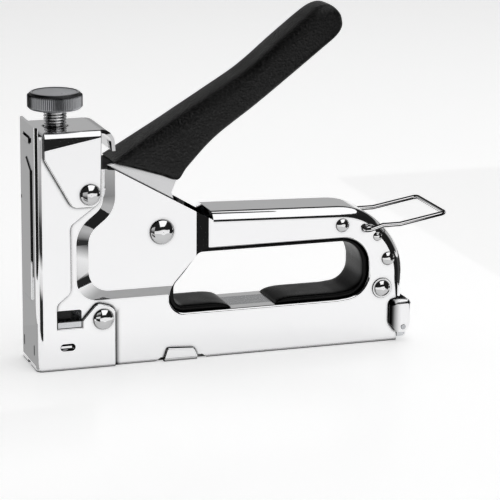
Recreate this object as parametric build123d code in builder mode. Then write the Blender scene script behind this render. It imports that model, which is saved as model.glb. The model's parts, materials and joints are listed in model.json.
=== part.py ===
from build123d import *
from math import cos, radians, sin
import os

# Manual staple gun with a folded sheet body, in millimetres.
# Origin: foot of the nose, on the centre plane and the base plane, where the driver blade's
# front face comes down.
# +X runs back along the magazine, +Z is up, and the gun is symmetrical about Y = 0.

os.makedirs("parts", exist_ok=True)

# ---- Driving dimensions ----
BODY_REAR = 163.9          # rear edge of the body
BODY_HALF = 12.5           # half the width of the body over its plain sides
BODY_SHEET = 1.2
PLATEAU_RUN = 4.5          # width of the slope round the raised field
PLATEAU_RISE = 2.5         # how far the raised field round the pivot stands out
SPINE_FRONT = 76.1         # where the folded top of the hand grip begins
RIM_R = 0.9                # rounding of the sheet round the finger opening
EDGE_R = 0.5               # rounding of sheared sheet edges
FOLD_R = 4.5               # outside radius of the fold along the top and down the rear
FLANGE_END = 6.5           # the finger opening's flange reaches in to this far from the centre
NOSE_FRONT = -1.8
NOSE_HALF = 14.0
NOSE_SHEET = 1.5
NOSE_BEND = 2.7            # outside radius of the bends between the front wall and the sides
NOSE_TOP = 101.0
FRONT_TOP = 104.8          # the front wall rises past the bracket's top plate
SEAM_R = 3.2               # corners of the nose's rear edge
PANEL_HALF = 7.5           # raised panel on the front wall
PANEL_FOOT = 30.0
PANEL_SHOULDER = 86.0
PANEL_PEAK = 90.5
BRACKET_SHEET = 1.5
BRACKET_HALF = NOSE_HALF + BRACKET_SHEET
OPENING_FLOOR = 20.5       # lower edge of the finger opening
MAGAZINE_END = 157.0

SCREW_X = 10.5             # axis of the power screw and drive spring
SCREW_R = 4.95
THREAD_PITCH = 1.25
KNOB_R = 11.6
KNOB_BASE = 110.0
KNOB_HEIGHT = 7.2
NUT_HEIGHT = 5.3
SEAT_TOP = 94.4
SEAT_HEIGHT = 2.2

PIVOT_X = 52.4
PIVOT_Z = 57.6
PIVOT_R = 3.4
LEVER_TRAVEL = 38.0        # degrees from open to squeezed
LIFT_ARM = 28.0            # pivot to the pin that lifts the plunger
LEVER_HALF = 9.2
LEVER_SHEET = 1.6
GRIP_HALF = 11.0

PLUNGER_FOOT = 27.4
PLUNGER_TOP = 54.0
BLADE_FRONT = 0.0
BLADE_THICK = 1.2
BLADE_RIVET_R = 1.5
BLADE_RIVETS = [33.0, 45.0]    # heights of the rivets that hold the blade on the plunger
PLUNGER_REAR = 15.4

RAIL_HALF = 4.0
CHANNEL_HALF = 7.0
ROD_Z = 14.6
GAP = 0.3                  # running clearance between moving pieces

BODY_INNER = BODY_HALF - BODY_SHEET
NOSE_INNER = NOSE_HALF - NOSE_SHEET
LEVER_INNER = LEVER_HALF - LEVER_SHEET
PLATEAU_HALF = BODY_HALF + PLATEAU_RISE
ROOF_TOP = OPENING_FLOOR - BODY_SHEET - 0.1
PLUNGER_FRONT = BLADE_FRONT + BLADE_THICK + 0.2
RAIL_FRONT = BLADE_FRONT + BLADE_THICK + 2 * GAP
SPRING_TOP = SEAT_TOP - SEAT_HEIGHT

# Where the lift pin sits with the lever open: half the travel below the pivot's level.
PIN_X = PIVOT_X - LIFT_ARM * cos(radians(LEVER_TRAVEL / 2))
PIN_Z = PIVOT_Z - LIFT_ARM * sin(radians(LEVER_TRAVEL / 2))
PIN_R = 2.5

# Rivets and pins: (distance behind the origin, height above the base)
BRACKET_RIVET = (21.2, 75.8)
NOSE_RIVET = (27.0, 21.2)
REAR_RIVETS = [(134.7, 53.9), (156.3, 37.5)]
SMALL_RIVET = (151.2, 47.8)
STUD = (153.6, 24.4)
WIRE_HOLE = (145.0, 51.6)
LATCH_PIN = (163.0, 6.6)
LOUVRE = (11.5, 10.0)

RIVET_R = 1.9
SMALL_R = 1.0
STUD_R = 1.9
WIRE_R = 1.0
LOOP_HALF = 16.2
ROD_R = 1.2
LATCH_R = 1.0
LATCH_HALF = 15.5
PAD_THICK = 2.7
LINER_SKIRT = 46.0         # the liner is thinner above this height
LINER_JOINT = 105.0        # the two liners meet here, above the fingers
PAD_HALF = 10.8
BRACKET_TOP = NOSE_TOP + 1.6
LIP_HALF = 13.2
LUG_HALF = 5.5
LUG_REAR = 28.4
LUG_FOOT = PIN_Z + PIN_R + 0.3


def side(half):
    """The vertical plane at Y = -half, seen from the right-hand side."""
    return Plane.XZ.offset(half)


def finish(piece, name):
    piece.part.label = name
    export_step(piece.part, f"parts/{name}.step")


def opening_outline(grow=0.0):
    """The finger opening's outline, moved outwards by grow."""
    with BuildSketch() as outline:
        with BuildLine():
            Polyline(
                (69.5, 48.0), (56.6, 33.5), (56.6, OPENING_FLOOR),
                (133, OPENING_FLOOR), (147.6, 22), (147.6, 48),
                close=True,
            )
        make_face()
        corners = outline.vertices().sort_by(Axis.X)
        fillet(corners[0:2], radius=7)
        fillet(outline.vertices().filter_by(lambda v: abs(v.X - 69.5) < 0.1), radius=6)
        fillet(outline.vertices().filter_by(lambda v: abs(v.X - 133) < 0.1), radius=20)
        fillet(outline.vertices().filter_by(lambda v: v.X > 147 and v.Y < 30), radius=11)
        fillet(outline.vertices().filter_by(lambda v: v.X > 140 and v.Y > 47), radius=13)
        if grow:
            offset(amount=grow)
    return outline.sketch


def plateau_outline(inset):
    """The raised field round the pivot, drawn past the shell's sloping top edge."""
    left, right = 15.9 + inset, 74.0 - 1.4 * inset
    neck, waist, foot = 69.5 - 0.3 * inset, 60.2 - 0.3 * inset, 29.2 + inset
    with BuildSketch() as outline:
        with BuildLine():
            Polyline(
                (27.6 + inset, 99), (27.6 + inset, neck), (left, waist),
                (left, foot), (right, foot), (right, 99),
                close=True,
            )
        make_face()
        fillet([v for v in outline.vertices() if v.X < left + 1 and v.Y > foot + 1], radius=14 - inset)
        fillet([v for v in outline.vertices() if abs(v.X - 27.6 - inset) < 0.1 and v.Y < 90], radius=8 + inset)
        fillet([v for v in outline.vertices() if v.X < left + 1 and v.Y < foot + 1], radius=9)
    return outline.sketch


def corners_at(spots):
    """The corners of the sketch being built that lie at the given points of its own plane."""
    found = BuildSketch._get_context().vertices()
    return [v for v in found if any(abs(v.X - x) + abs(v.Y - z) < 0.05 for x, z in spots)]


def cross_bars(spots, radius):
    """Round bars along Y through the whole gun at each (x, z) spot, to cut holes with."""
    with BuildPart() as bars:
        with BuildSketch(Plane.XZ):
            with Locations(*spots):
                Circle(radius)
        extrude(amount=30, both=True)
    return bars.part


def window_outline():
    """The small window in the nose's side, seen from the side."""
    with BuildSketch() as outline:
        with Locations((12.45, 22.0)):
            RectangleRounded(10.9, 7.6, 1.0)
    return outline.sketch


# ---- Body shell: one sheet folded over the top of the hand grip and down its rear ----
def folded_block(inset, half, radius):
    """The rear of the body as a solid block with its fold rounded, moved inwards by inset."""
    with BuildPart() as block:
        with BuildSketch(Plane.XZ) as outline:
            with BuildLine():
                Polyline(
                    (SPINE_FRONT, 0), (SPINE_FRONT, 63.5), (146, 61.2), (BODY_REAR, 41.5), (BODY_REAR, 0),
                    close=True,
                )
            make_face()
            fillet(corners_at([(146, 61.2)]), radius=28)
            fillet(corners_at([(BODY_REAR, 41.5)]), radius=30)
            if inset:
                offset(amount=-inset, mode=Mode.REPLACE)
        extrude(amount=half, both=True)
        fold = block.edges().filter_by(
            lambda e: abs(abs(e.center().Y) - half) < 0.01
            and e.center().X > SPINE_FRONT + 2 and e.center().Z > 5
        )
        fillet(fold, radius=radius)
    return block.part


with BuildPart() as shell_cavity:
    add(folded_block(BODY_SHEET, BODY_INNER, FOLD_R - BODY_SHEET))
    with BuildSketch(Plane.XZ):
        with BuildLine():
            Polyline(
                (-1, -1), (-1, 99), (SPINE_FRONT, 99), (SPINE_FRONT, 58.5), (80, 58.5), (80, 30),
                (150, 30), (150, 19), (170, 19), (170, -1),
                close=True,
            )
        make_face()
    extrude(amount=BODY_INNER, both=True)
    for sign in (1, -1):
        with BuildSketch(side(sign * BODY_INNER)):
            add(plateau_outline(0))
        with BuildSketch(side(sign * (BODY_INNER + PLATEAU_RISE))):
            add(plateau_outline(PLATEAU_RUN))
        loft(ruled=True)
    for sign in (1, -1):
        with BuildSketch(side(sign * FLANGE_END)):
            add(opening_outline(BODY_SHEET))
        extrude(amount=sign * 20, mode=Mode.SUBTRACT)

with BuildPart() as body_shell:
    with BuildSketch(Plane.XZ):
        with BuildLine():
            Polyline((4, 0), (4, 85.4), (32, 85.4), (SPINE_FRONT, 60.3), (SPINE_FRONT, 0), close=True)
        make_face()
    extrude(amount=BODY_HALF, both=True)
    add(folded_block(0, BODY_HALF, FOLD_R))
    with BuildSketch(Plane.XZ):
        with BuildLine():
            Polyline((50.5, -1), (50.5, 0), (52.6, 1.6), (71.3, 1.6), (73.2, 0), (73.2, -1), close=True)
        make_face()
        with Locations((165, 9)):
            Rectangle(8, 20)
    extrude(amount=BODY_HALF, both=True, mode=Mode.SUBTRACT)
    for sign in (1, -1):
        with BuildSketch(side(sign * BODY_HALF)):
            add(plateau_outline(0))
        with BuildSketch(side(sign * PLATEAU_HALF)):
            add(plateau_outline(PLATEAU_RUN))
        loft(ruled=True)
    with BuildSketch(Plane.XZ):
        with BuildLine():
            Polyline((20, 100), (20, 85.4), (32, 85.4), (SPINE_FRONT, 60.3), (SPINE_FRONT, 100), close=True)
        make_face()
    extrude(amount=PLATEAU_HALF, both=True, mode=Mode.SUBTRACT)
    with BuildSketch(Plane.XZ):
        add(opening_outline())
    extrude(amount=PLATEAU_HALF, both=True, mode=Mode.SUBTRACT)
    rims = body_shell.edges().filter_by(
        lambda e: e.center().X > 80 and abs(abs(e.center().Y) - BODY_HALF) < 0.01
        and OPENING_FLOOR - 0.1 < e.center().Z < 48.1 and e.center().X < 147.7
    )
    fillet(rims, radius=RIM_R)
    add(shell_cavity.part, mode=Mode.SUBTRACT)
    add(cross_bars([BRACKET_RIVET, NOSE_RIVET] + REAR_RIVETS, RIVET_R), mode=Mode.SUBTRACT)
    add(cross_bars([SMALL_RIVET], SMALL_R), mode=Mode.SUBTRACT)
    add(cross_bars([STUD], STUD_R), mode=Mode.SUBTRACT)
    add(cross_bars([(PIVOT_X, PIVOT_Z)], PIVOT_R), mode=Mode.SUBTRACT)
    add(cross_bars([WIRE_HOLE], WIRE_R + 0.1), mode=Mode.SUBTRACT)
    with BuildSketch(Plane.XZ):
        add(window_outline())
        with Locations(LOUVRE):
            SlotOverall(6.6, 3.2)
    extrude(amount=NOSE_HALF, both=True, mode=Mode.SUBTRACT)
finish(body_shell, "body_shell")

# ---- Nose housing: a channel bent from one sheet, open to the rear ----
with BuildPart() as nose_housing:
    with BuildSketch(Plane.XZ):
        with BuildLine():
            Polyline(
                (NOSE_FRONT, 0), (NOSE_FRONT, NOSE_TOP), (26.2, NOSE_TOP), (25.9, 71.8),
                (13.0, 62.5), (13.0, 33.5), (7.0, 28.8), (7.0, 18.2), (17.9, 18.2),
                (17.9, 21.0), (24.5, 28.4), (32.3, 26.0), (32.3, 0),
                close=True,
            )
        make_face()
        bends = [(25.9, 71.8), (13.0, 62.5), (13.0, 33.5), (7.0, 28.8), (24.5, 28.4), (32.3, 26.0)]
        fillet(corners_at(bends), radius=SEAM_R)
    extrude(amount=NOSE_HALF, both=True)
    with BuildSketch(Plane.YZ.offset(NOSE_FRONT)):
        with Locations((0, FRONT_TOP / 2)):
            Rectangle(2 * NOSE_HALF, FRONT_TOP)
    extrude(amount=NOSE_SHEET)
    bend = nose_housing.edges().filter_by(Axis.Z).group_by(Axis.X)[0]
    fillet(bend, radius=NOSE_BEND)
    seam = nose_housing.edges().filter_by(
        lambda e: abs(abs(e.center().Y) - NOSE_HALF) < 0.01
        and e.center().X > 6.9 and 1 < e.center().Z < NOSE_TOP - 3
    )
    fillet(seam, radius=EDGE_R)
    with Locations((40 + NOSE_FRONT + NOSE_SHEET, 0, 60)):
        Box(80, 2 * NOSE_INNER, 140, mode=Mode.SUBTRACT)
    # raised panel with a pointed top on the front face
    with BuildSketch(Plane.YZ.offset(NOSE_FRONT)):
        with BuildLine():
            Polyline(
                (-PANEL_HALF, PANEL_FOOT), (-PANEL_HALF, PANEL_SHOULDER), (0, PANEL_PEAK),
                (PANEL_HALF, PANEL_SHOULDER), (PANEL_HALF, PANEL_FOOT),
                close=True,
            )
        make_face()
    extrude(amount=-0.6, taper=35)
    # slot for the bracket's tongue, sight holes and the notch over the staple exit
    with BuildSketch(Plane.YZ.offset(NOSE_FRONT)):
        with Locations((0, 98.2)):
            Rectangle(11.4, 3.4)
        with Locations((8.6, 8.4), (-8.6, 8.4)):
            SlotOverall(4.6, 1.3, rotation=90)
        with Locations((10.2, 71)):
            Circle(0.8)
        Rectangle(5, 3.2)
    extrude(amount=NOSE_SHEET, mode=Mode.SUBTRACT)
    # side holes
    add(cross_bars([BRACKET_RIVET, NOSE_RIVET], RIVET_R), mode=Mode.SUBTRACT)
    with BuildSketch(Plane.XZ):
        with Locations(LOUVRE):
            SlotOverall(6.6, 3.2)
    extrude(amount=NOSE_HALF, both=True, mode=Mode.SUBTRACT)
    # tongue of sheet left across each side slot
    for sign in (1, -1):
        with Locations((LOUVRE[0] - 0.8, sign * (NOSE_HALF - 0.8), LOUVRE[1] + 0.1)):
            Box(5.2, 0.8, 0.9)
finish(nose_housing, "nose_housing")

# ---- Top bracket: cap over the nose with a triangular ear down each side ----
with BuildPart() as top_bracket:
    with BuildSketch(Plane.XZ):
        with BuildLine():
            Polyline(
                (1.7, BRACKET_TOP), (26.4, BRACKET_TOP), (25.8, 70.4), (13.6, 70.4), (1.7, 91.6),
                close=True,
            )
        make_face()
        fillet(corners_at([(25.8, 70.4), (13.6, 70.4)]), radius=4.5)
    extrude(amount=BRACKET_HALF, both=True)
    folds = top_bracket.edges().filter_by(Axis.X).group_by(Axis.Z)[-1]
    fillet(folds, radius=2.2)
    ears = top_bracket.edges().filter_by(
        lambda e: abs(abs(e.center().Y) - BRACKET_HALF) < 0.01 and e.center().Z < BRACKET_TOP - 3
    )
    fillet(ears, radius=EDGE_R)
    with Locations((20, 0, NOSE_TOP - 30)):
        Box(60, 2 * NOSE_HALF, 60, mode=Mode.SUBTRACT)
    # rear lip, rolled down behind the nose
    with BuildSketch(Plane.XZ):
        with BuildLine():
            over = Line((26.0, BRACKET_TOP), (26.6, BRACKET_TOP))
            bend_out = RadiusArc(over @ 1, (32.6, 96.6), 6.0)
            down = Line(bend_out @ 1, (32.9, 93.2))
            edge = Line(down @ 1, (31.4, 93.2))
            up = Line(edge @ 1, (31.1, 96.6))
            bend_in = RadiusArc(up @ 1, (26.6, NOSE_TOP), -4.5)
            under = Line(bend_in @ 1, (26.0, NOSE_TOP))
            Line(under @ 1, over @ 0)
        make_face()
    extrude(amount=LIP_HALF, both=True)
    with BuildSketch(Plane.XY.offset(NOSE_TOP)):
        with Locations((SCREW_X, 0)):
            Circle(SCREW_R + 0.4)
    extrude(amount=5, mode=Mode.SUBTRACT)
    # tongue bent forward through the nose's slot
    with Locations((NOSE_FRONT + 1.9, 0, 98.1)):
        Box(5.2, 10.8, 2.0)
    with Locations((2.0, 0, 99.6)):
        Box(0.8, 10.8, 5.0)
    add(cross_bars([BRACKET_RIVET], RIVET_R), mode=Mode.SUBTRACT)
finish(top_bracket, "top_bracket")

with BuildPart() as power_nut:
    with BuildSketch(Plane.XY.offset(NOSE_TOP - NUT_HEIGHT)):
        with Locations((SCREW_X + 0.1, 0)):
            RectangleRounded(14.6, 20, 1.5)
        with Locations((SCREW_X, 0)):
            Circle(SCREW_R + 0.07, mode=Mode.SUBTRACT)
    extrude(amount=NUT_HEIGHT)
finish(power_nut, "power_nut")

# ---- Rivets and pins: a shank across the body with a domed head on each side ----
def domed_pin(spots, shank, half, head, rise):
    """One pin along Y at each (x, z) spot; half is where the heads seat."""
    with BuildPart() as pin:
        for x, z in spots:
            with BuildSketch(Plane((x, 0, z), x_dir=(1, 0, 0), z_dir=(0, 0, 1))):
                with BuildLine():
                    Polyline((0, -half - rise), (0, half + rise))
                    for end in (1, -1):
                        rim = (head, end * (half + 0.35 * rise))
                        ThreePointArc((0, end * (half + rise)), (0.6 * head, end * (half + 0.84 * rise)), rim)
                        Polyline(rim, (head, end * half), (shank, end * half), (shank, 0))
                make_face()
            revolve(axis=Axis((x, 0, z), (0, 1, 0)))
    return pin


bracket_rivet = domed_pin([BRACKET_RIVET], RIVET_R, BRACKET_HALF, 4.2, 2.3)
finish(bracket_rivet, "bracket_rivet")
nose_rivet = domed_pin([NOSE_RIVET], RIVET_R, NOSE_HALF, 4.2, 2.3)
finish(nose_rivet, "nose_rivet")
lever_pivot_pin = domed_pin([(PIVOT_X, PIVOT_Z)], PIVOT_R, PLATEAU_HALF, 5.0, 2.6)
finish(lever_pivot_pin, "lever_pivot_pin")
rear_rivets = domed_pin(REAR_RIVETS, RIVET_R, BODY_HALF, 2.8, 1.5)
finish(rear_rivets, "rear_rivets")
small_rivet = domed_pin([SMALL_RIVET], SMALL_R, BODY_HALF, 1.9, 1.0)
finish(small_rivet, "small_rivet")
rear_stud = domed_pin([STUD], STUD_R, BODY_HALF + 0.6, 3.4, 1.6)
finish(rear_stud, "rear_stud")


def tubes(spots, bore, outside, near, far):
    """Short tubes along Y on both sides of the centre, from near to far, at each (x, z) spot."""
    with BuildPart() as tube:
        for x, z in spots:
            with BuildSketch(side(near)):
                with Locations((x, z)):
                    Circle(outside)
                    Circle(bore, mode=Mode.SUBTRACT)
            extrude(amount=far - near)
        mirror(about=Plane.XZ)
    return tube


stud_washers = tubes([STUD], STUD_R, 4.3, BODY_HALF, BODY_HALF + 0.6)
finish(stud_washers, "stud_washers")
pivot_washers = tubes([(PIVOT_X, PIVOT_Z)], PIVOT_R, 6.0, LEVER_HALF + 0.3, PLATEAU_HALF - BODY_SHEET)
finish(pivot_washers, "pivot_washers")
spacer_tubes = tubes(REAR_RIVETS + [STUD], STUD_R, 2.6, 0, BODY_INNER)
finish(spacer_tubes, "spacer_tubes")

# ---- Finger pads: moulded liners on the flange at both ends of the finger opening ----
def finger_pad(kept):
    """The part of the opening's liner that lies in the kept outline."""
    with BuildPart() as pad:
        with BuildSketch(Plane.XZ):
            add(opening_outline(-0.05))
            add(opening_outline(-PAD_THICK), mode=Mode.SUBTRACT)
            with BuildLine():
                Polyline(*kept, close=True)
            make_face(mode=Mode.INTERSECT)
        extrude(amount=PAD_HALF, both=True)
    return pad


front_finger_pad = finger_pad(
    [
        (50, 50), (LINER_JOINT - 0.05, 50), (LINER_JOINT - 0.05, LINER_SKIRT), (75, LINER_SKIRT), (66, 38),
        (66, 26), (76, 24), (84.5, OPENING_FLOOR), (84.5, 18), (50, 18),
    ]
)
finish(front_finger_pad, "front_finger_pad")
rear_finger_pad = finger_pad(
    [
        (105, 18), (105, OPENING_FLOOR), (112, 24), (134, 26), (134, 42), (128, LINER_SKIRT),
        (LINER_JOINT + 0.05, LINER_SKIRT), (LINER_JOINT + 0.05, 50), (150, 50), (150, 18),
    ]
)
finish(rear_finger_pad, "rear_finger_pad")

# ---- Magazine: fixed channel and roof in the body, and the rail that slides out of them ----
with BuildPart() as magazine_channel:
    with BuildSketch(Plane.YZ.offset(RAIL_FRONT)):
        with Locations((0, 0.6)):
            Rectangle(2 * BODY_INNER, 1.2)
        for y in (CHANNEL_HALF - 0.6, 0.6 - CHANNEL_HALF):
            with Locations((y, 9)):
                Rectangle(1.2, 18)
    extrude(amount=MAGAZINE_END - RAIL_FRONT)
    # side tabs folded up over the body's lower edge in its notch
    with BuildSketch(side(BODY_HALF + 0.2)):
        with BuildLine():
            Polyline((53.6, 0), (55.4, 5.6), (67.4, 4.9), (68.6, 2.2), (68.6, 0), close=True)
        make_face()
        fillet(corners_at([(55.4, 5.6), (67.4, 4.9)]), radius=0.8)
    extrude(amount=1.2)
    with Locations((61, -BODY_HALF, 0.6)):
        Box(14, 3, 1.2)
    tab_rim = magazine_channel.edges().filter_by(
        lambda e: e.center().Y < -BODY_HALF - 1.3 and e.center().Z > 2
    )
    fillet(tab_rim, radius=0.5)
    mirror(about=Plane.XZ)
finish(magazine_channel, "magazine_channel")

with BuildPart() as magazine_roof:
    with Locations(((19 + MAGAZINE_END) / 2, 0, (18 + ROOF_TOP) / 2)):
        Box(MAGAZINE_END - 19, 2 * BODY_INNER, ROOF_TOP - 18)
    # raised strip that fills the gap between the flanges of the opening
    with Locations((100, 0, (18 + OPENING_FLOOR) / 2)):
        Box(60, 2 * FLANGE_END - 0.2, OPENING_FLOOR - 18)
finish(magazine_roof, "magazine_roof")

with BuildPart() as bumper_bracket:
    with Locations((12.45, 0, 19.7)):
        Box(10.5, 2 * BODY_INNER, 2.4)
    with Locations((12.45, 0, 19.7)):
        Box(10.1, 2 * (NOSE_HALF - 0.4), 2.4)
finish(bumper_bracket, "bumper_bracket")

with BuildPart() as bumper_pad:
    with Locations((10.1, 0, (21.0 + PLUNGER_FOOT - 0.2) / 2)):
        Box(9.4, 20, PLUNGER_FOOT - 0.2 - 21.0)
    fillet(bumper_pad.edges().filter_by(Axis.Z), radius=1.5)
finish(bumper_pad, "bumper_pad")

with BuildPart() as staple_rail:
    with BuildSketch(Plane.YZ.offset(RAIL_FRONT + 0.2)):
        with Locations((0, 6.5)):
            Rectangle(2 * RAIL_HALF, 9)
        with Locations((0, 6.0)):
            Rectangle(2 * RAIL_HALF - 1.8, 8.2, mode=Mode.SUBTRACT)
    extrude(amount=MAGAZINE_END + 0.3 - RAIL_FRONT)
finish(staple_rail, "staple_rail")

with BuildPart() as end_block:
    with Locations((161.25, 0, 9.4)):
        Box(7.5, 21.6, 15.6)
    with Locations((163.1, 0, 6.4)):
        Box(3.8, 25.0, 9.6)
    rear_edges = end_block.edges().filter_by(Axis.Y).group_by(Axis.X)[-1]
    chamfer(rear_edges, length=1.0)
    with BuildSketch(Plane.YZ.offset(150)):
        with Locations((0, ROD_Z)):
            Circle(ROD_R)
    extrude(amount=12, mode=Mode.SUBTRACT)
    with BuildSketch(Plane.XZ):
        with Locations(LATCH_PIN):
            Circle(LATCH_R)
    extrude(amount=20, both=True, mode=Mode.SUBTRACT)
finish(end_block, "end_block")

with BuildPart() as guide_rod:
    with BuildSketch(Plane.YZ.offset(5)):
        with Locations((0, ROD_Z)):
            Circle(ROD_R)
    extrude(amount=157)
finish(guide_rod, "guide_rod")

with BuildPart() as staple_pusher:
    with BuildSketch(Plane.YZ.offset(3.5)):
        with Locations((0, 9.7)):
            Rectangle(10.8, 15.4)
        with Locations((0, 6.2)):
            Rectangle(2 * RAIL_HALF + 0.6, 10.2, mode=Mode.SUBTRACT)
        with Locations((0, ROD_Z)):
            Circle(ROD_R + 0.15, mode=Mode.SUBTRACT)
    extrude(amount=17)
finish(staple_pusher, "staple_pusher")

with BuildPart() as pusher_spring:
    with BuildLine() as turns:
        Helix(pitch=5.2, height=135.2, radius=2.3, center=(21.2, 0, ROD_Z), direction=(1, 0, 0))
    with BuildSketch(turns.line ^ 0):
        Circle(0.35)
    sweep()
finish(pusher_spring, "pusher_spring")

with BuildPart() as latch_pin:
    with BuildSketch(side(-LATCH_HALF - 0.3)):
        with Locations(LATCH_PIN):
            Circle(LATCH_R)
    extrude(amount=2 * LATCH_HALF + 0.6)
finish(latch_pin, "latch_pin")

with BuildPart() as latch_clip:
    with BuildSketch(Plane.XZ):
        with BuildLine():
            Polyline(
                (157.0, 19), (166.8, 19), (166.8, 8.0), (163.8, 4.4), (160.0, 4.4), (157.0, 8.4),
                close=True,
            )
        make_face()
        fillet(corners_at([(157.0, 19)]), radius=3.0)
    extrude(amount=LATCH_HALF, both=True)
    fillet(latch_clip.edges().filter_by(Axis.Z).group_by(Axis.X)[-1], radius=1.6)
    fillet(latch_clip.edges().filter_by(Axis.Z).group_by(Axis.X)[0], radius=2.2)
    with Locations((155.6, 0, 10)):
        Box(20, 26.2, 30, mode=Mode.SUBTRACT)
    with Locations((165, 0, 3.6)):
        Box(6, 26.2, 5.6, mode=Mode.SUBTRACT)
    with BuildSketch(Plane.XZ):
        with Locations(LATCH_PIN):
            Circle(LATCH_R + 0.05)
    extrude(amount=20, both=True, mode=Mode.SUBTRACT)
finish(latch_clip, "latch_clip")

# ---- Lever ----
with BuildPart() as lever_arm:
    with BuildSketch(Plane.XZ):
        with BuildLine():
            Polyline(
                (21.6, 45.0), (28.5, 44.6), (52.5, 49.4), (60.4, 54.0), (60.4, 66), (58.4, 73.0),
                (61.6, 80.5), (73, 95), (86.5, 104.6), (112, 124.8), (112, 134.5), (88.5, 117),
                (66.6, 104.3), (40.4, 88), (30.6, 86.4), (29.6, 72), (21.6, 53),
                close=True,
            )
        make_face()
        fillet(corners_at([(21.6, 45.0), (28.5, 44.6), (60.4, 54.0), (60.4, 66), (21.6, 53)]), radius=3.2)
    extrude(amount=LEVER_HALF, both=True)
    # the space between the two plates, with a web left along the top edge inside the grip
    with BuildSketch(Plane.XZ):
        with BuildLine():
            Polyline(
                (15, 40), (70, 40), (70, 85), (125, 120), (125, 142), (112, 132.4),
                (88.5, 114.8), (66.6, 102.2), (40.4, 85.9), (38, 84.4), (30, 90), (15, 60),
                close=True,
            )
        make_face()
    extrude(amount=LEVER_INNER, both=True, mode=Mode.SUBTRACT)
    with BuildSketch(Plane.XZ):
        with Locations((PIVOT_X, PIVOT_Z)):
            Circle(PIVOT_R + 0.05)
        with Locations((PIN_X, PIN_Z)):
            Circle(PIN_R)
    extrude(amount=20, both=True, mode=Mode.SUBTRACT)
finish(lever_arm, "lever_arm")

with BuildPart() as lever_grip:
    with BuildSketch(Plane.XZ):
        with BuildLine():
            top = Spline((33.2, 87.4), (63, 105.6), (88, 120.6), (120.5, 146.2))
            Spline(top @ 1, (129.8, 149.4), (135.4, 140.5), (127.0, 131.4), tangents=(top % 1, (-0.78, -0.62)))
            below = Spline(
                (127.0, 131.4), (97.2, 108.8), (77.5, 94.6), (65.6, 82.6), (61.3, 77.2),
                tangents=((-0.78, -0.62), (-0.62, -0.78)),
            )
            Polyline(below @ 1, (39.3, 85.2), (33.2, 87.4))
        make_face()
    extrude(amount=GRIP_HALF, both=True)
    add(lever_arm.part, mode=Mode.SUBTRACT)
    # the grip is open below, where the two plates of the arm leave it
    with BuildSketch(Plane.XZ):
        with BuildLine():
            Polyline(
                (36, 70), (74, 70), (84, 97), (74, 99.2), (66.6, 102.2), (40.4, 86.2), (37, 85.2),
                close=True,
            )
        make_face()
    extrude(amount=LEVER_INNER, both=True, mode=Mode.SUBTRACT)
finish(lever_grip, "lever_grip")

with BuildPart() as lift_pin:
    with BuildSketch(side(-LEVER_HALF)):
        with Locations((PIN_X, PIN_Z)):
            Circle(PIN_R)
    extrude(amount=2 * LEVER_HALF)
finish(lift_pin, "lift_pin")

with BuildPart() as pivot_bush:
    with BuildSketch(side(-LEVER_INNER)):
        with Locations((PIVOT_X, PIVOT_Z)):
            Circle(4.3)
            Circle(PIVOT_R + 0.05, mode=Mode.SUBTRACT)
    extrude(amount=2 * LEVER_INNER)
finish(pivot_bush, "pivot_bush")

with BuildPart() as lever_return_spring:
    with BuildLine() as turns:
        Helix(pitch=1.9, height=7.6, radius=5.6, center=(PIVOT_X, -3.8, PIVOT_Z), direction=(0, 1, 0))
    with BuildSketch(turns.line ^ 0):
        Circle(0.75)
    sweep()
    with Locations((PIVOT_X + 5.6, -3.8, PIVOT_Z - 6)):
        Cylinder(0.75, 12)
    with Locations((PIVOT_X + 5.6, 3.8, PIVOT_Z + 8)):
        Cylinder(0.75, 16)
finish(lever_return_spring, "lever_return_spring")

# ---- Plunger, driver blade and drive spring ----
with BuildPart() as plunger:
    with BuildSketch(Plane.XZ):
        with BuildLine():
            Polyline(
                (PLUNGER_FRONT, PLUNGER_FOOT), (PLUNGER_FRONT, PLUNGER_TOP), (LUG_REAR, PLUNGER_TOP),
                (LUG_REAR, LUG_FOOT), (PLUNGER_REAR, LUG_FOOT), (PLUNGER_REAR, PLUNGER_FOOT),
                close=True,
            )
        make_face()
    extrude(amount=LUG_HALF, both=True)
    with BuildSketch(Plane.XZ):
        with Locations(((PLUNGER_FRONT + PLUNGER_REAR) / 2, (PLUNGER_FOOT + PLUNGER_TOP) / 2)):
            Rectangle(PLUNGER_REAR - PLUNGER_FRONT, PLUNGER_TOP - PLUNGER_FOOT)
    extrude(amount=10, both=True)
    with BuildSketch(Plane.YZ):
        with Locations(*[(0, height) for height in BLADE_RIVETS]):
            Circle(BLADE_RIVET_R)
    extrude(amount=PLUNGER_REAR, mode=Mode.SUBTRACT)
finish(plunger, "plunger")

with BuildPart() as driver_blade:
    with Locations((BLADE_FRONT + BLADE_THICK / 2, 0, 25.2)):
        Box(BLADE_THICK, 11, 49.6)
    with BuildSketch(Plane.YZ):
        with Locations(*[(0, height) for height in BLADE_RIVETS]):
            Circle(BLADE_RIVET_R)
    extrude(amount=PLUNGER_FRONT, mode=Mode.SUBTRACT)
finish(driver_blade, "driver_blade")

with BuildPart() as blade_rivets:
    with BuildSketch(Plane.YZ.offset(BLADE_FRONT)):
        with Locations(*[(0, height) for height in BLADE_RIVETS]):
            Circle(BLADE_RIVET_R)
    extrude(amount=PLUNGER_REAR - BLADE_FRONT)
finish(blade_rivets, "blade_rivets")

with BuildPart() as drive_spring:
    with BuildLine() as turns:
        free = SPRING_TOP - PLUNGER_TOP - 2.1
        Helix(pitch=free / 6, height=free, radius=6.2, center=(SCREW_X, 0, PLUNGER_TOP + 1.05))
    with BuildSketch(turns.line ^ 0):
        Circle(1.0)
    sweep()
finish(drive_spring, "drive_spring")

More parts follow.
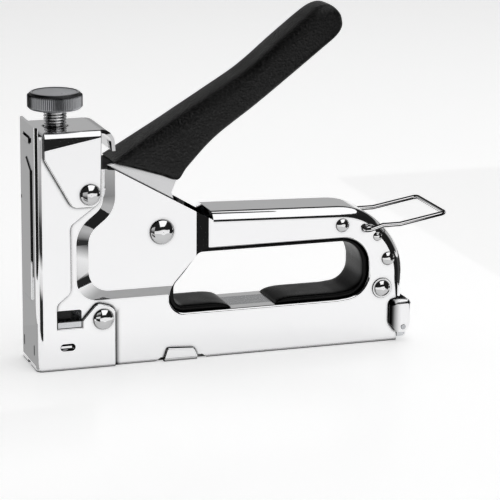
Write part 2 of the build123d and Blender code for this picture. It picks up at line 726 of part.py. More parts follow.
with BuildPart() as spring_seat:
    with BuildSketch(Plane.XY.offset(SPRING_TOP)):
        with Locations((SCREW_X, 0)):
            Circle(8.2)
    extrude(amount=SEAT_HEIGHT)
    with BuildSketch(Plane.XY.offset(SPRING_TOP)):
        with Locations((SCREW_X, 0)):
            Circle(4.6)
    extrude(amount=-3)
finish(spring_seat, "spring_seat")

# ---- Power screw and knob ----
with BuildPart() as power_screw:
    with BuildSketch(Plane.XZ):
        with BuildLine():
            foot = SEAT_TOP + 0.15
            teeth = [(SCREW_X, foot), (SCREW_X + SCREW_R - 1.0, foot)]
            for turn in range(11):
                root = foot + 0.3 + turn * THREAD_PITCH
                teeth += [(SCREW_X + SCREW_R - 0.75, root), (SCREW_X + SCREW_R, root + THREAD_PITCH / 2)]
            teeth += [(SCREW_X + SCREW_R - 0.75, KNOB_BASE), (SCREW_X, KNOB_BASE)]
            Polyline(*teeth, close=True)
        make_face()
    revolve(axis=Axis((SCREW_X, 0, 0), (0, 0, 1)))
finish(power_screw, "power_screw")

with BuildPart() as power_knob:
    with BuildSketch(Plane.XY.offset(KNOB_BASE)):
        with Locations((SCREW_X, 0)):
            Circle(KNOB_R)
    extrude(amount=KNOB_HEIGHT)
    chamfer(power_knob.edges().group_by(Axis.Z)[-1], length=1.9, length2=1.2)
    chamfer(power_knob.edges().group_by(Axis.Z)[0], length=1.0)
finish(power_knob, "power_knob")

# ---- Wire loop that locks the squeezed lever ----
with BuildPart() as wire_loop:
    x, z = WIRE_HOLE
    with BuildLine() as route:
        FilletPolyline((x, -8.5, z), (x, -LOOP_HALF, z), (152, -LOOP_HALF, 53.6), (160, -LOOP_HALF, 53.6),
                       (181, -LOOP_HALF, 57.2), (181, LOOP_HALF, 57.2), (160, LOOP_HALF, 53.6),
                       (152, LOOP_HALF, 53.6), (x, LOOP_HALF, z), (x, 8.5, z), radius=1.9)
    with BuildSketch(Plane((x, -8.5, z), z_dir=(0, -1, 0))):
        Circle(WIRE_R)
    sweep()
finish(wire_loop, "wire_loop")
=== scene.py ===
import json
import math

import bmesh
import bpy
from mathutils import Matrix, Vector


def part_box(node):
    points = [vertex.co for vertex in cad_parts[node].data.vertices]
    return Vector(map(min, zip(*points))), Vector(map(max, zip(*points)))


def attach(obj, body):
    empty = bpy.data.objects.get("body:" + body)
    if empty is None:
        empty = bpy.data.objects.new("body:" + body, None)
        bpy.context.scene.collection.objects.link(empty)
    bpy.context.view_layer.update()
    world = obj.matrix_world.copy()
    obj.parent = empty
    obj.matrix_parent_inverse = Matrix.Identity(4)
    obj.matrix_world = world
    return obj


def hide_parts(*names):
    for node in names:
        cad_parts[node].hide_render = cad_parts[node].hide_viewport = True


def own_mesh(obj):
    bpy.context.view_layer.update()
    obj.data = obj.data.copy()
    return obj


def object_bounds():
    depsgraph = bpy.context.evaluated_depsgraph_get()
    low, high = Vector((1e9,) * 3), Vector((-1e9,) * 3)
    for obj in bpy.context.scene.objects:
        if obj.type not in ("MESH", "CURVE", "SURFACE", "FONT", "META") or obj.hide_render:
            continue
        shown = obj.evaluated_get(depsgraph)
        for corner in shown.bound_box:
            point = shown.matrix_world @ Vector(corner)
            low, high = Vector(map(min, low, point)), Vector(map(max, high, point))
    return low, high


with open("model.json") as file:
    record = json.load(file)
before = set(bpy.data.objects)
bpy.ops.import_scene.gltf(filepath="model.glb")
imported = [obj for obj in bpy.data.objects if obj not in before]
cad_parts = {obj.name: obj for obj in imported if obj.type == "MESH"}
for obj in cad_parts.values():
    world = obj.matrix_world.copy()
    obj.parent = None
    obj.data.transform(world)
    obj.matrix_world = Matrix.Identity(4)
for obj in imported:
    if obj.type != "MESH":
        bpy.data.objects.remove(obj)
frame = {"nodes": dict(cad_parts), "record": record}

cad_low, cad_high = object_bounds()
nodes = frame["nodes"]
scene = bpy.context.scene
scene.view_settings.view_transform = "Standard"
MM = 0.001


# ---------------------------------------------------------------- node helpers
class Tree:
    """A node tree with short calls for adding and linking nodes."""

    def __init__(self, tree):
        self.nodes = tree.nodes
        self.links = tree.links

    def add(self, kind, inputs=None, **settings):
        node = self.nodes.new(kind)
        for key, value in settings.items():
            setattr(node, key, value)
        for key, value in (inputs or {}).items():
            self.put(node.inputs[key], value)
        return node

    def put(self, socket, value):
        """Links an output to the socket, or sets the socket to a constant."""
        if isinstance(value, bpy.types.NodeSocket):
            self.links.new(value, socket)
        else:
            socket.default_value = value

    def math(self, operation, a, b=0.0):
        node = self.add("ShaderNodeMath", operation=operation)
        self.put(node.inputs[0], a)
        self.put(node.inputs[1], b)
        return node.outputs[0]

    def span(self, value, old, new, smooth=False):
        node = self.add("ShaderNodeMapRange")
        if smooth:
            node.interpolation_type = "SMOOTHSTEP"
        for key, number in zip(("From Min", "From Max", "To Min", "To Max"), (*old, *new)):
            node.inputs[key].default_value = number
        self.put(node.inputs["Value"], value)
        return node.outputs["Result"]

    def ramp(self, value, stops):
        node = self.add("ShaderNodeValToRGB")
        bands = node.color_ramp.elements
        while len(bands) < len(stops):
            bands.new(0.5)
        for band, (place, tone) in zip(bands, stops):
            band.position = place
            band.color = (*rgb(tone), 1)
        self.put(node.inputs["Fac"], value)
        return node.outputs["Color"]

    def blend(self, factor, a, b):
        node = self.add("ShaderNodeMix", data_type="RGBA")
        self.put(node.inputs["Factor"], factor)
        self.put(node.inputs[6], a)
        self.put(node.inputs[7], b)
        return node.outputs[2]


def rgb(tone):
    return (tone, tone, tone) if isinstance(tone, (int, float)) else tuple(tone)


def new_material(name, **sockets):
    """A material and its tree, with constants set on the shader's own sockets."""
    made = bpy.data.materials.new(name)
    made.use_nodes = True
    tree = Tree(made.node_tree)
    shader = made.node_tree.nodes["Principled BSDF"]
    for key, value in sockets.items():
        label = key.replace("_", " ").title().replace("Ior", "IOR")
        shader.inputs[label].default_value = (*value, 1) if isinstance(value, tuple) else value
    return made, tree, shader


def grain(tree, scale, detail=2.0, stretch=(1, 1, 1), seed=0.0):
    """Noise over the object's own coordinates; scale is in features per metre."""
    place = tree.add("ShaderNodeTexCoord").outputs["Object"]
    moved = tree.add("ShaderNodeMapping", {"Vector": place, "Scale": stretch, "Location": (seed, seed, seed)})
    noise = tree.add("ShaderNodeTexNoise", {"Vector": moved.outputs[0], "Scale": scale, "Detail": detail})
    return noise.outputs["Fac"]


def bumped(tree, shader, layers):
    """Chains bump layers (height, strength, distance in metres) into the shader's normal."""
    normal = None
    for height, strength, distance in layers:
        bump = tree.add("ShaderNodeBump", {"Height": height, "Strength": strength, "Distance": distance})
        if normal is not None:
            tree.put(bump.inputs["Normal"], normal)
        normal = bump.outputs["Normal"]
    tree.put(shader.inputs["Normal"], normal)


# ---------------------------------------------------------------- materials
CREASE_REACH = 2 * MM       # how far from a corner its painted shade reaches
CREASE_OPEN = (0.56, 0.95)  # openness where the painted corner shade is darkest and where it ends on open sheet


def painted_crease_shade(tree, floor_tone):
    """Painted shade: 1 on open sheet, falling towards floor_tone in corners and along overlapping edges."""
    shade = tree.add("ShaderNodeAmbientOcclusion", {"Distance": CREASE_REACH}, samples=8)
    return tree.span(shade.outputs["AO"], CREASE_OPEN, (floor_tone, 1.0), smooth=True)


def leaning(tree, axis, old, new):
    """A value from the direction the surface faces along one axis of the tool."""
    faces = tree.add("ShaderNodeSeparateXYZ", {"Vector": tree.add("ShaderNodeTexCoord").outputs["Normal"]})
    return tree.span(faces.outputs[axis], old, new, smooth=True)


def position(tree, axis):
    """The place along one axis of the tool, in metres."""
    place = tree.add("ShaderNodeSeparateXYZ", {"Vector": tree.add("ShaderNodeTexCoord").outputs["Object"]})
    return place.outputs[axis]


def plated(name, light, dark, rough, wave=0.0, seed=0.0, crease=0.04, shade=None, fold=None):
    """Bright plated sheet: slow waves in the sheet, faint polishing lines, painted shade in its corners.

    shade(tree) gives a factor of painted light and shade on the plate's tone; fold(tree) gives a height for a
    shallow dent. crease is the darkest tone of the painted corner shade.
    """
    made, tree, shader = new_material(name, metallic=1.0)
    haze = grain(tree, 60, 3, seed=seed)
    fine = grain(tree, 900, 3, (1, 1, 6), seed)
    tone = tree.blend(haze, (*light, 1), (*dark, 1))
    # painted shade: corners, overlapping edges and the shade factor darken the plate's tone
    depth = painted_crease_shade(tree, crease)
    if shade:
        depth = tree.math("MULTIPLY", depth, shade(tree))
    tree.put(shader.inputs["Base Color"], tree.blend(depth, (0.0, 0.0, 0.0, 1), tone))
    rough_noise = tree.math("ADD", tree.math("MULTIPLY", haze, 0.6), tree.math("MULTIPLY", fine, 0.4))
    tree.put(shader.inputs["Roughness"], tree.span(rough_noise, (0.3, 0.7), rough))
    layers = [(grain(tree, 5000, 2, seed=seed), 0.04, 0.00002)]
    if wave:
        layers.insert(0, (grain(tree, 28, 1, seed=seed), wave, 0.001))
    if fold:
        layers.insert(0, (fold(tree), 1.0, 1.0))
    bumped(tree, shader, layers)
    return made


def brushed(name, light, dark, rough, stretch):
    """Rolled or ground steel with fine lines along one axis."""
    made, tree, shader = new_material(name, metallic=1.0)
    lines = grain(tree, 1500, 4, stretch)
    patches = grain(tree, 45, 3, seed=3.0)
    tree.put(shader.inputs["Base Color"], tree.blend(patches, (*light, 1), (*dark, 1)))
    tree.put(shader.inputs["Roughness"], tree.span(lines, (0.3, 0.7), rough))
    bumped(tree, shader, [(lines, 0.12, 0.00003)])
    return made


def moulded(name, base, light, rough, cell, strength, gloss=0.4):
    """Black moulded plastic or rubber with a fine pebbled skin."""
    made, tree, shader = new_material(name, specular_ior_level=gloss)
    place = tree.add("ShaderNodeTexCoord").outputs["Object"]
    cells = tree.add("ShaderNodeTexVoronoi", {"Vector": place, "Scale": cell}, feature="SMOOTH_F1")
    speckle = grain(tree, cell * 0.8, 4)
    patches = grain(tree, 90, 3)
    worn = tree.span(speckle, (0.52, 0.75), (0.0, 1.0))
    tree.put(shader.inputs["Base Color"], tree.blend(worn, (*rgb(base), 1), (*rgb(light), 1)))
    tree.put(shader.inputs["Roughness"], tree.span(patches, (0.3, 0.7), rough))
    bumped(tree, shader, [(cells.outputs["Distance"], strength, 0.3 * MM), (speckle, strength, 0.2 * MM)])
    return made


def domed_shade(tree):
    """The lower half of a domed head is darker."""
    return leaning(tree, "Z", (-0.06, 0.02), (0.6, 1.0))


DENT_HEIGHT = 0.0949       # height of the dent's lower edge at the origin
DENT_RISE = 0.187          # how fast that edge rises towards the rear
DENT_LEAN = 0.3            # slope of the dent


def bracket_dent(tree):
    """The ear leans in above a line that rises towards the rear, as pressed sheet does by a fold."""
    line = tree.math("ADD", tree.math("MULTIPLY", position(tree, "X"), -DENT_RISE), position(tree, "Z"))
    above = tree.math("MAXIMUM", tree.math("SUBTRACT", line, DENT_HEIGHT), 0.0)
    return tree.math("MULTIPLY", above, -DENT_LEAN)


def shell_shade(tree):
    """Painted shadow on the shell just behind the nose's rear edge, and painted shade on slopes that face the
    ground.
    """
    behind = tree.span(position(tree, "X"), (0.0325, 0.0352), (0.1, 1.0), smooth=True)
    ahead = tree.span(position(tree, "X"), (0.0318, 0.0324), (1.0, 0.0))
    low = tree.span(position(tree, "Z"), (0.021, 0.026), (0.0, 1.0), smooth=True)
    painted_nose_shadow = tree.math("MAXIMUM", tree.math("MAXIMUM", behind, ahead), low)
    return tree.math("MULTIPLY", painted_nose_shadow, leaning(tree, "Z", (-0.4, -0.1), (0.42, 1.0)))


def lip_shade(tree):
    """Painted shade: the rolled lip behind the bracket's fold is darker than its flat top."""
    return tree.span(position(tree, "X"), (0.0262, 0.0275), (1.0, 0.62))


def latch_shade(tree):
    """The clip's front-facing bend and the edge by the body are dark."""
    rounded = leaning(tree, "X", (-0.8, -0.05), (0.02, 1.0))
    across = tree.span(position(tree, "X"), (0.157, 0.1622), (0.05, 1.0), smooth=True)
    return tree.math("MULTIPLY", rounded, across)


def wire_shade(tree):
    """Round wire with painted shade along its top and bottom."""
    upper = leaning(tree, "Z", (0.5, 0.72), (1.0, 0.0))
    lower = leaning(tree, "Z", (-0.35, -0.1), (0.0, 1.0))
    return tree.math("MULTIPLY", upper, lower)


def knob_shade(tree):
    """Painted light and shade: the turned top face is brighter than the knurl, and the chamfer is darkest."""
    top = leaning(tree, "Z", (0.9, 0.99), (0.0, 1.0))
    side = leaning(tree, "Z", (0.2, 0.55), (0.6, 0.05))
    return tree.math("MAXIMUM", top, side)


# (light, dark) tones of the plate
BRIGHT = ((0.955, 0.955, 0.96), (0.92, 0.92, 0.93))
POLISHED = ((0.94, 0.94, 0.945), (0.89, 0.89, 0.9))

chrome = plated("bright_chrome", *BRIGHT, (0.02, 0.06), wave=0.05)
# the lever's plate is toned darker than the other plate, as painted shade for its recessed place
lever_plate = plated("lever_plate", (0.70, 0.70, 0.705), (0.62, 0.62, 0.63), (0.08, 0.16), seed=2.0)
chrome_small = plated("polished_chrome", *POLISHED, (0.02, 0.06), seed=5.0)
chrome_domed = plated("domed_chrome", *POLISHED, (0.03, 0.07), seed=5.0, shade=domed_shade)
shell_chrome = plated("shell_chrome", *BRIGHT, (0.02, 0.06), wave=0.05, shade=shell_shade)
bracket_chrome = plated(
    "bracket_chrome", *BRIGHT, (0.02, 0.05), wave=0.05, shade=lip_shade, fold=bracket_dent
)
wire_chrome = plated("wire_chrome", *POLISHED, (0.03, 0.08), seed=8.0, shade=wire_shade)
screw_plate = plated(
    "screw_plate", (0.94, 0.94, 0.945), (0.86, 0.86, 0.87), (0.08, 0.16), seed=4.0, crease=0.55
)
latch_chrome = plated("latch_chrome", *POLISHED, (0.03, 0.08), seed=7.0, shade=latch_shade)
zinc = brushed("bright_zinc", (0.72, 0.73, 0.74), (0.58, 0.59, 0.61), (0.16, 0.3), (1, 8, 8))
spring_steel = brushed("oiled_spring_steel", (0.46, 0.47, 0.5), (0.34, 0.35, 0.37), (0.22, 0.38), (8, 8, 1))
blade_steel = brushed("ground_blade_steel", (0.6, 0.61, 0.63), (0.48, 0.49, 0.51), (0.2, 0.34), (8, 8, 1))
dark_plate = plated("dark_nickel", (0.17, 0.18, 0.20), (0.12, 0.13, 0.145), (0.2, 0.34), seed=9.0)

knob_plate = plated(
    "knob_nickel", (0.86, 0.87, 0.9), (0.74, 0.75, 0.78), (0.26, 0.38), seed=9.0, crease=0.2, shade=knob_shade
)
grip_rubber = moulded("grip_rubber", 0.0015, 0.02, (0.3, 0.42), 1300, 0.75, gloss=0.3)
pad_plastic = moulded("pad_plastic", 0.001, 0.003, (0.24, 0.36), 2600, 0.08, gloss=0.14)
bumper_rubber = moulded("bumper_rubber", 0.03, 0.05, (0.6, 0.75), 1800, 0.25)

FINISH = {
    "chrome": chrome,
    "zinc_steel": zinc,
    "spring_steel": spring_steel,
    "blade_steel": blade_steel,
    "black_chrome": dark_plate,
    "grip_rubber": grip_rubber,
    "pad_plastic": pad_plastic,
    "bumper_rubber": bumper_rubber,
}


def paint(obj, material):
    obj.data.materials.clear()
    obj.data.materials.append(material)


def dull_inside(material, half):
    """Inner faces, nearer the centre plane than half, are bare grey metal instead of bright plate."""
    tree = Tree(material.node_tree)
    depth = tree.math("ABSOLUTE", position(tree, "Y"))
    metal = tree.span(depth, (half - MM, half), (0.1, 1.0))
    tree.put(tree.nodes["Principled BSDF"].inputs["Metallic"], metal)


dull_inside(lever_plate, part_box("lever_arm")[1].y - 0.2 * MM)

slot_of = {part["node"]: part["material_slot"] for part in frame["record"]["subparts"]}
for name, node in nodes.items():
    paint(node, FINISH[slot_of[name]])
for name in ("bracket_rivet", "nose_rivet", "lever_pivot_pin", "rear_rivets", "small_rivet", "rear_stud"):
    paint(nodes[name], chrome_domed)
paint(nodes["wire_loop"], wire_chrome)
paint(nodes["magazine_channel"], chrome_small)
paint(nodes["stud_washers"], chrome_domed)
paint(nodes["body_shell"], shell_chrome)
paint(nodes["top_bracket"], bracket_chrome)
paint(nodes["latch_clip"], latch_chrome)
paint(nodes["lever_arm"], lever_plate)


# ---------------------------------------------------------------- mesh helpers
def placed(name, data):
    """A new object in the scene that holds the given mesh, lamp or camera."""
    obj = bpy.data.objects.new(name, data)
    scene.collection.objects.link(obj)
    return obj


def mesh_object(name, verts, faces, material, smooth=True):
    """A closed skin from its vertices and faces, with its normals outwards."""
    mesh = bpy.data.meshes.new(name)
    mesh.from_pydata([tuple(v) for v in verts], [], faces)
    build = bmesh.new()
    build.from_mesh(mesh)
    bmesh.ops.recalc_face_normals(build, faces=build.faces)
    build.to_mesh(mesh)
    build.free()
    if smooth:
        mesh.shade_smooth()
    obj = placed(name, mesh)
    paint(obj, material)
    return obj


def ring_faces(rings, around):
    """Faces of a skin over rings of the same number of vertices, with a cap at each end."""
    faces = []
    for r in range(rings - 1):
        for k in range(around):
            a, b = r * around + k, r * around + (k + 1) % around
            faces.append((a, b, b + around, a + around))
    faces.append(tuple(range(around)))
    faces.append(tuple((rings - 1) * around + k for k in range(around)))
    return faces


def squared(ratio, power):
    """A sine or cosine reshaped so that a circle made of them becomes a rounded square."""
    return math.copysign(abs(ratio) ** (2 / power), ratio)


def stand_in(obj, body, node):
    """Puts the piece in the place of a CAD node and has it ride on that node's body."""
    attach(obj, body)
    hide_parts(node)


# ---------------------------------------------------------------- power screw and knob
screw_low, screw_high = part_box("power_screw")
knob_low, knob_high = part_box("power_knob")
screw_axis = (knob_low + knob_high) / 2
THREAD_PITCH = 1.25 * MM


THREAD_DEPTH = 0.7 * MM
KNURL_DEPTH = 0.34 * MM


def threaded_rod():
    """A right-handed screw whose thread runs in at its foot."""
    around, per_turn = 64, 14
    radius = (screw_high.x - screw_low.x) / 2
    low, high = screw_low.z, screw_high.z
    steps = int((high - low) / THREAD_PITCH * per_turn)
    verts = []
    for i in range(steps + 1):
        z = low + (high - low) * i / steps
        for k in range(around):
            turn = k / around
            phase = ((z - low) / THREAD_PITCH - turn) % 1.0
            tooth = min(1.0, 1.45 * (1 - abs(2 * phase - 1)))
            run_in = min(1.0, (z - low) / (0.8 * THREAD_PITCH))
            r = radius - THREAD_DEPTH * (1 - tooth * run_in)
            a = math.tau * turn
            verts.append((screw_axis.x + r * math.cos(a), screw_axis.y + r * math.sin(a), z))
    return mesh_object("threaded_power_screw", verts, ring_faces(steps + 1, around), screw_plate)


def knurled_knob():
    """A turned knob with a ridged rim and a shallow recess in its top."""
    ridges, per_ridge = 84, 6
    around = ridges * per_ridge
    radius = (knob_high.x - knob_low.x) / 2
    height = knob_high.z - knob_low.z
    # (radius, height, share of the knurl's depth) from the lower face to the middle of the top
    profile = [
        (5.2 * MM, 0, 0), (radius - 1.5 * MM, 0, 0), (radius - 0.9 * MM, 0.12 * MM, 0.2),
        (radius - 0.05 * MM, 1.0 * MM, 1), (radius, 1.3 * MM, 1), (radius, 3.6 * MM, 1),
        (radius, 5.9 * MM, 1), (radius, height - 1.75 * MM, 1), (radius - 0.1 * MM, height - 1.5 * MM, 0.9),
        (radius - 0.75 * MM, height - 0.7 * MM, 0.25), (radius - 1.35 * MM, height - 0.12 * MM, 0),
        (radius - 1.75 * MM, height, 0), (radius - 2.1 * MM, height - 0.02 * MM, 0),
        (radius - 2.4 * MM, height - 0.22 * MM, 0), (radius - 2.8 * MM, height - 0.26 * MM, 0),
        (2.0 * MM, height - 0.26 * MM, 0), (0.3 * MM, height - 0.26 * MM, 0),
    ]
    verts = []
    for r, z, knurl in profile:
        for k in range(around):
            wave = abs(2 * ((k / per_ridge) % 1.0) - 1)
            here = r - KNURL_DEPTH * knurl * wave
            a = math.tau * k / around
            x, y = screw_axis.x + here * math.cos(a), screw_axis.y + here * math.sin(a)
            verts.append((x, y, knob_low.z + z))
    faces = ring_faces(len(profile), around)
    return mesh_object("knurled_power_knob", verts, faces, knob_plate, smooth=False)


stand_in(threaded_rod(), "power_screw", "power_screw")
stand_in(knurled_knob(), "power_screw", "power_knob")


# ---------------------------------------------------------------- lever grip
def through(points, count):
    """Evenly spaced tuples on a smooth line through the given ones."""
    padded = [points[0], *points, points[-1]]
    line = []
    for i in range(count):
        at = i / (count - 1) * (len(points) - 1)
        k = min(int(at), len(points) - 2)
        t = at - k
        line.append([0.5 * (2 * b + (c - a) * t + (2 * a - 5 * b + 4 * c - d) * t * t
                            + (3 * b - a - 3 * c + d) * t ** 3)
                     for a, b, c, d in zip(*padded[k:k + 4])])
    return line


# Stations from the pivot end to the tip, in mm: x and z on the upper line, x and z on the lower line
# below it, and the half width there.
GRIP_STATIONS = [
    (33.2, 87.4, 36.0, 86.4, 10.6), (40.8, 92.2, 44.6, 83.3, 10.8), (49.4, 97.4, 53.6, 80.0, 10.9),
    (58.2, 102.7, 61.2, 77.4, 10.95), (63.8, 106.1, 66.0, 83.0, 10.9), (76.2, 113.5, 77.8, 94.9, 10.7),
    (92.5, 123.6, 95.8, 107.8, 10.75), (107, 135.3, 112, 120.0, 10.9), (120.0, 145.6, 126.0, 130.6, 10.7),
    (125.6, 149.0, 131.2, 134.4, 10.3), (130.0, 149.3, 134.0, 137.2, 9.6), (133.6, 146.6, 135.1, 139.4, 8.2),
    (135.2, 142.6, 135.3, 140.9, 5.6),
]
GRIP_SQUARE = (6.5, 3.3)   # how square the grip's section is at its pivot end and at its tip


def moulded_grip():
    """A skin of rounded-square rings between the grip's upper and lower lines, closed round the tip."""
    rings, around = 150, 72
    verts = []
    for i, (top_x, top_z, foot_x, foot_z, half) in enumerate(through(GRIP_STATIONS, rings)):
        top, foot = Vector((top_x, top_z)), Vector((foot_x, foot_z))
        middle, rise = (top + foot) / 2, (top - foot) / 2
        power = GRIP_SQUARE[0] + (GRIP_SQUARE[1] - GRIP_SQUARE[0]) * i / (rings - 1)
        for k in range(around):
            a = math.tau * k / around
            x, z = middle + rise * squared(math.sin(a), power)
            verts.append((x * MM, half * squared(math.cos(a), power) * MM, z * MM))
    return mesh_object("moulded_lever_grip", verts, ring_faces(rings, around), grip_rubber)


stand_in(moulded_grip(), "lever", "lever_grip")


# ---------------------------------------------------------------- finger liners
def rounded_loop(corners, radii, steps=14):
    """A closed line of (x, z) points with an arc of the given radius at each corner."""
    line = []
    for i, (corner, radius) in enumerate(zip(corners, radii)):
        here = Vector(corner)
        before = (Vector(corners[i - 1]) - here).normalized()
        after = (Vector(corners[(i + 1) % len(corners)]) - here).normalized()
        half = before.angle(after) / 2
        middle = here + (before + after).normalized() * (radius / math.sin(half))
        start = here + before * (radius / math.tan(half)) - middle
        swing = start.angle_signed(here + after * (radius / math.tan(half)) - middle)
        for k in range(steps + 1):
            line.append(middle + Matrix.Rotation(-swing * k / steps, 2) @ start)
    return line


def spaced(line, gap):
    """The same open line with a point every gap along it."""
    out, carry = [line[0]], 0.0
    for a, b in zip(line, line[1:]):
        length = (b - a).length
        while carry + length >= gap and length > 0:
            a = a + (b - a) * ((gap - carry) / length)
            length = (b - a).length
            carry = 0.0
            out.append(a)
        carry += length
    return out


# The finger opening's corners in mm, (x, z), clockwise from its upper front corner, with their radii.
OPENING = [(69.5, 48.0), (147.6, 48.0), (147.6, 22.0), (133.0, 20.5), (56.6, 20.5), (56.6, 33.5)]
OPENING_R = [6, 13, 11, 20, 7, 7]
OPENING_TOP = 48.0
OPENING_FOOT = 20.5
LINER_JOINT = 105.0        # the two liners meet here, above the fingers
FRONT_FOOT = 84.4          # rear end of the front liner's foot
REAR_FOOT = 105.2          # front end of the rear liner's foot
LINER_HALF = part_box("front_finger_pad")[1].y / MM
LINER_THIN = 1.95          # thickness along the top of the opening
LINER_EXTRA = 0.7          # added thickness round the rest of it
LINER_GROW = 8             # height over which that thickness is added
LINER_RUN = 9.0            # length over which the foot's end thins out
LINER_CLEAR = 0.06         # gap between the liner and the sheet
LINER_SQUARE = (7, 4.5)    # how square the section is across and through the liner
STEP = 0.6                 # distance between the rings of a liner


def opening_run(first, last):
    """The opening's line, clockwise from the first point to the last, both near the given (x, z)."""
    loop = rounded_loop(OPENING, OPENING_R)
    loop = spaced(loop + [loop[0]], STEP)
    start = min(range(len(loop)), key=lambda i: (loop[i] - Vector(first)).length)
    stop = min(range(len(loop)), key=lambda i: (loop[i] - Vector(last)).length)
    return loop[start:stop + 1] if start < stop else loop[start:] + loop[1:stop + 1]


def lip(distance, run, full):
    """Thickness near an end: thin at the end, full after the given run."""
    t = min(1.0, distance / run)
    return max(0.12, math.sqrt(max(0.0, 1 - (1 - t) ** 2))) * full


def liner(name, line, foot_first):
    """A moulded strip on the inside of the line; its foot thins out to a rounded lip."""
    around, verts = 40, []
    last = len(line) - 1
    for i, point in enumerate(line):
        run = (line[min(i + 1, last)] - line[max(i - 1, 0)]).normalized()
        inward = Vector((run.y, -run.x))
        from_foot = (i if foot_first else last - i) * STEP
        full = LINER_THIN + LINER_EXTRA * min(1.0, max(0.0, (OPENING_TOP - 0.5 - point.y) / LINER_GROW))
        depth = lip(from_foot, LINER_RUN, full)
        half = LINER_HALF * min(1.0, 0.97 + 0.03 * min(from_foot, 3) / 3)
        for k in range(around):
            a = math.tau * k / around
            y = half * squared(math.cos(a), LINER_SQUARE[0])
            rise = depth / 2 * (1 + squared(math.sin(a), LINER_SQUARE[1])) + LINER_CLEAR
            x, z = point + inward * rise
            verts.append((x * MM, y * MM, z * MM))
    return mesh_object(name, verts, ring_faces(len(line), around), pad_plastic)


front_run = opening_run((FRONT_FOOT, OPENING_FOOT), (LINER_JOINT - 0.1, OPENING_TOP))
rear_run = opening_run((LINER_JOINT + 0.1, OPENING_TOP), (REAR_FOOT, OPENING_FOOT))
stand_in(liner("front_finger_liner", front_run, foot_first=True), "frame", "front_finger_pad")
stand_in(liner("rear_finger_liner", rear_run, foot_first=False), "frame", "rear_finger_pad")


# ---------------------------------------------------------------- rubber bumper under the plunger
def rounded_block(name, node, radius, material):
    """A block with rounded edges that fills the node's box."""
    low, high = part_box(node)
    build = bmesh.new()
    bmesh.ops.create_cube(build, size=1.0)
    for vert in build.verts:
        vert.co = Vector(((low[i] + high[i]) / 2 + vert.co[i] * (high[i] - low[i]) for i in range(3)))
    bmesh.ops.bevel(build, geom=build.edges[:], offset=radius, segments=5, profile=0.5, affect="EDGES")
    mesh = bpy.data.meshes.new(name)
    build.to_mesh(mesh)
    build.free()
    mesh.shade_smooth()
    obj = placed(name, mesh)
    paint(obj, material)
    return obj


stand_in(rounded_block("rubber_bumper", "bumper_pad", 1.2 * MM, bumper_rubber), "frame", "bumper_pad")


# ---------------------------------------------------------------- coil springs
def coil(name, start, end, radius, wire, turns):
    """A round-wire spring wound round the line from start to end."""
    start, end = Vector(start), Vector(end)
    axis = (end - start).normalized()
    across = axis.orthogonal().normalized()
    beside = axis.cross(across)
    steps, around = int(turns * 28), 12
    rise = (end - start).length / steps
    verts = []
    for i in range(steps + 1):
        a = math.tau * turns * i / steps
        out = across * math.cos(a) + beside * math.sin(a)
        run = (axis.cross(out) * (math.tau * turns / steps * radius) + axis * rise).normalized()
        over = run.cross(out)
        centre = start + axis * (rise * i) + out * radius
        for k in range(around):
            b = math.tau * k / around
            verts.append(centre + out * (wire * math.cos(b)) + over * (wire * math.sin(b)))
    return mesh_object(name, verts, ring_faces(steps + 1, around), spring_steel)


spring_low, spring_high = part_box("drive_spring")
spring_axis = (spring_low + spring_high) / 2
DRIVE_WIRE, DRIVE_TURNS = 1.0 * MM, 6
drive_coil = coil(
    "compression_drive_spring",
    (spring_axis.x, 0, spring_low.z + DRIVE_WIRE), (spring_axis.x, 0, spring_high.z - DRIVE_WIRE),
    (spring_high.x - spring_low.x) / 2 - DRIVE_WIRE, DRIVE_WIRE, DRIVE_TURNS
)
stand_in(drive_coil, "spring_seat", "drive_spring")
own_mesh(drive_coil)

push_low, push_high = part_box("pusher_spring")
push_axis = (push_low + push_high) / 2
PUSH_WIRE, PUSH_TURNS = 0.35 * MM, 26
push_coil = coil(
    "compression_pusher_spring",
    (push_low.x + PUSH_WIRE, 0, push_axis.z), (push_high.x - PUSH_WIRE, 0, push_axis.z),
    (push_high.z - push_low.z) / 2 - PUSH_WIRE, PUSH_WIRE, PUSH_TURNS
)
stand_in(push_coil, "magazine", "pusher_spring")
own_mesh(push_coil)


# ---------------------------------------------------------------- stage, camera and lights
def plain_plane(name, size, material):
    """A flat rectangle for the floor and the cards around the tool."""
    half = [s / 2 for s in size]
    mesh = bpy.data.meshes.new(name)
    corners = [(-half[0], -half[1], 0), (half[0], -half[1], 0), (half[0], half[1], 0), (-half[0], half[1], 0)]
    mesh.from_pydata(corners, [], [(0, 1, 2, 3)])
    obj = placed(name, mesh)
    paint(obj, material)
    return obj


def facing(place, target):
    """The turn that points a lamp or a card from its place at the target."""
    return (Vector(target) - Vector(place)).to_track_quat("-Z", "Y")


def card(name, place, target, size, tone):
    """A flat card that only reflections see."""
    made, tree, shader = new_material(name, base_color=(0.0, 0.0, 0.0), roughness=1.0, specular_ior_level=0.0)
    shader.inputs["Emission Color"].default_value = (*rgb(tone), 1)
    shader.inputs["Emission Strength"].default_value = 1.0
    obj = plain_plane(name, size, made)
    obj.location = place
    obj.rotation_mode = "QUATERNION"
    obj.rotation_quaternion = facing(place, target)
    obj.visible_camera = obj.visible_diffuse = obj.visible_shadow = False
    return obj


def upright_fade(obj, stops):
    """Gives a card a tone that changes up its height; stops are (share of the height, tone)."""
    tree = Tree(obj.data.materials[0].node_tree)
    shader = tree.nodes["Principled BSDF"]
    place = tree.add("ShaderNodeSeparateXYZ", {"Vector": tree.add("ShaderNodeTexCoord").outputs["Generated"]})
    tree.put(shader.inputs["Emission Color"], tree.ramp(place.outputs["Y"], stops))


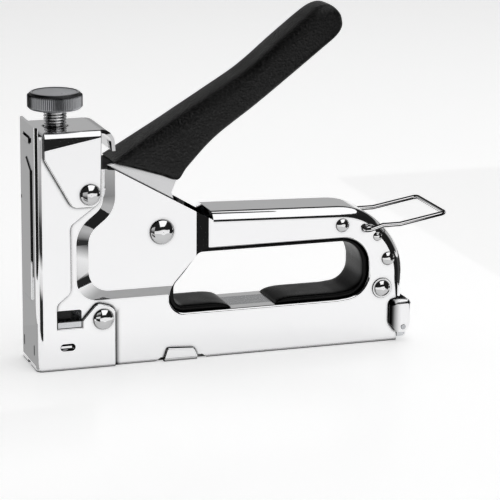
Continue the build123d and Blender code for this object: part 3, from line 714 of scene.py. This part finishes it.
def soft_box(name, place, target, size, power):
    """A rectangular lamp that the camera does not see."""
    lamp = bpy.data.lights.new(name, "AREA")
    lamp.shape = "RECTANGLE"
    lamp.size, lamp.size_y = size
    lamp.energy = power
    obj = placed(name, lamp)
    obj.location = place
    obj.rotation_mode = "QUATERNION"
    obj.rotation_quaternion = facing(place, target)
    obj.visible_camera = False
    return obj


centre = (cad_low + cad_high) / 2
FLOOR_GLOW = 0.46          # lifts the floor to the white of a light table

floor_paint, floor_tree, floor_shader = new_material(
    "floor_paint", roughness=0.32, specular_ior_level=0.25, base_color=(0.86, 0.86, 0.86)
)
floor_shader.inputs["Emission Color"].default_value = (1, 1, 1, 1)
floor_shader.inputs["Emission Strength"].default_value = FLOOR_GLOW
floor = plain_plane("floor", (14, 14), floor_paint)
floor.location = (centre.x, centre.y, cad_low.z - 0.05 * MM)

# the camera looks at the target from this azimuth, elevation and distance, with a slight roll
AZIMUTH, ELEVATION, ROLL = math.radians(-18.8), math.radians(14.5), math.radians(0.5)
DISTANCE = 1.084
target = Vector((0.0968, 0, cad_low.z + 0.0426))
back = Vector((
    math.sin(AZIMUTH) * math.cos(ELEVATION), -math.cos(AZIMUTH) * math.cos(ELEVATION), math.sin(ELEVATION)
))
right = Vector((math.cos(AZIMUTH), math.sin(AZIMUTH), 0))
up = back.cross(right)
lens = bpy.data.cameras.new("camera")
lens.lens, lens.sensor_width = 180, 36
lens.clip_start, lens.clip_end = 0.05, 30
camera = placed("camera", lens)
rolled_right = right * math.cos(ROLL) + up * math.sin(ROLL)
rolled_up = up * math.cos(ROLL) - right * math.sin(ROLL)
turned = Matrix((rolled_right, rolled_up, back)).transposed().to_4x4()
camera.matrix_world = Matrix.Translation(target + back * DISTANCE) @ turned
scene.camera = camera

# a long ceiling soft box gives the white band on folds and the window on domed heads
soft_box("ceiling_soft_box", (0.6, -1.0, 1.3), (0.6, -1.0, 0), (1.4, 3.8), 17.5)
fill = soft_box("overhead_fill", (0.05, 0.1, 1.5), (0.08, 0, 0), (1.3, 1.3), 7)
fill.visible_glossy = False

# cards that the plate reflects: each has its place, the point it faces, its size and its tone
card("left_grey_card", (-0.037, 0.055, 0.075), (-0.037, 0, 0.075), (0.066, 0.17), 0.38)
card("left_floor_card", (-0.0375, 0.02, 0.0006), (-0.0375, 0.02, 0.1), (0.069, 0.07), 0.36)
card("left_black_card", (-0.15, -0.045, 0.1), (0.0, -0.045, 0.1), (0.19, 0.22), 0.012)
front_flag = card("front_left_flag", (-0.017, -0.06, 0.045), (-0.017, 0.0, 0.045), (0.056, 0.09), 0.02)
upright_fade(front_flag, [
    (0.0, 0.02), (0.2, 0.02), (0.26, 0.7), (0.35, 0.85),
    (0.43, 0.03), (0.56, 0.03), (0.66, 0.25), (0.85, 0.45),
])
card("right_black_card", (0.212, -0.078, 0.05), (0.1, -0.078, 0.05), (0.095, 0.12), 0.012)
card("right_floor_card", (0.46, 0.05, 0.0006), (0.46, 0.05, 0.1), (0.42, 0.5), 0.05)

# the camera sees a white backdrop; the plate reflects a dark room with a grey wall behind the tool
world = bpy.data.worlds.new("studio")
scene.world = world
world.use_nodes = True
sky = Tree(world.node_tree)
aim = sky.add("ShaderNodeSeparateXYZ", {"Vector": sky.add("ShaderNodeTexCoord").outputs["Generated"]})
rear_side = sky.ramp(aim.outputs["Z"], [(0.0, 0.42), (0.36, 0.42), (0.42, 0.015), (1.0, 0.015)])
studio = sky.blend(sky.span(aim.outputs["Y"], (-0.12, 0.12), (0, 1)), (0.015, 0.015, 0.015, 1), rear_side)
seen = sky.add("ShaderNodeLightPath").outputs["Is Camera Ray"]
shade = sky.blend(seen, studio, (1.0, 1.0, 1.0, 1))
backdrop = world.node_tree.nodes["Background"]
sky.put(backdrop.inputs["Color"], shade)
backdrop.inputs["Strength"].default_value = 1.0
